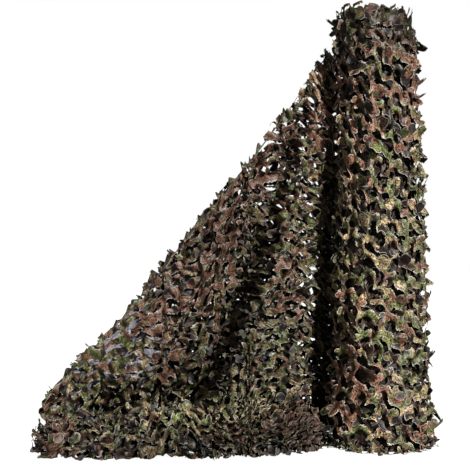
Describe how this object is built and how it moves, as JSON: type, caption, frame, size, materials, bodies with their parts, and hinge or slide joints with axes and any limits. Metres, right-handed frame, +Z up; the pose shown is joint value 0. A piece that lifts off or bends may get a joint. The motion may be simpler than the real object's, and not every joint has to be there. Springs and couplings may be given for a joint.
{
  "type": "camouflage net, bulk roll with loose end",
  "caption": "Leaf-cut woodland camouflage net, 1.5 m wide, a bulk roll standing on its end with its loose end draped to the floor.",
  "frame": {"origin": "centre of the roll's foot, on the floor", "axes": "+Z is up, along the standing roll and across the cloth's width; -X is the way the loose end runs; -Y faces the viewer of the front"},
  "size_m": [1.3415, 0.4818, 1.4995],
  "materials": {
    "rolled_net": "matte",
    "draped_net": "matte"
  },
  "bodies": {
    "root": {"net_roll": "rolled_net", "net_loose_end": "draped_net"}
  },
  "joints": []
}
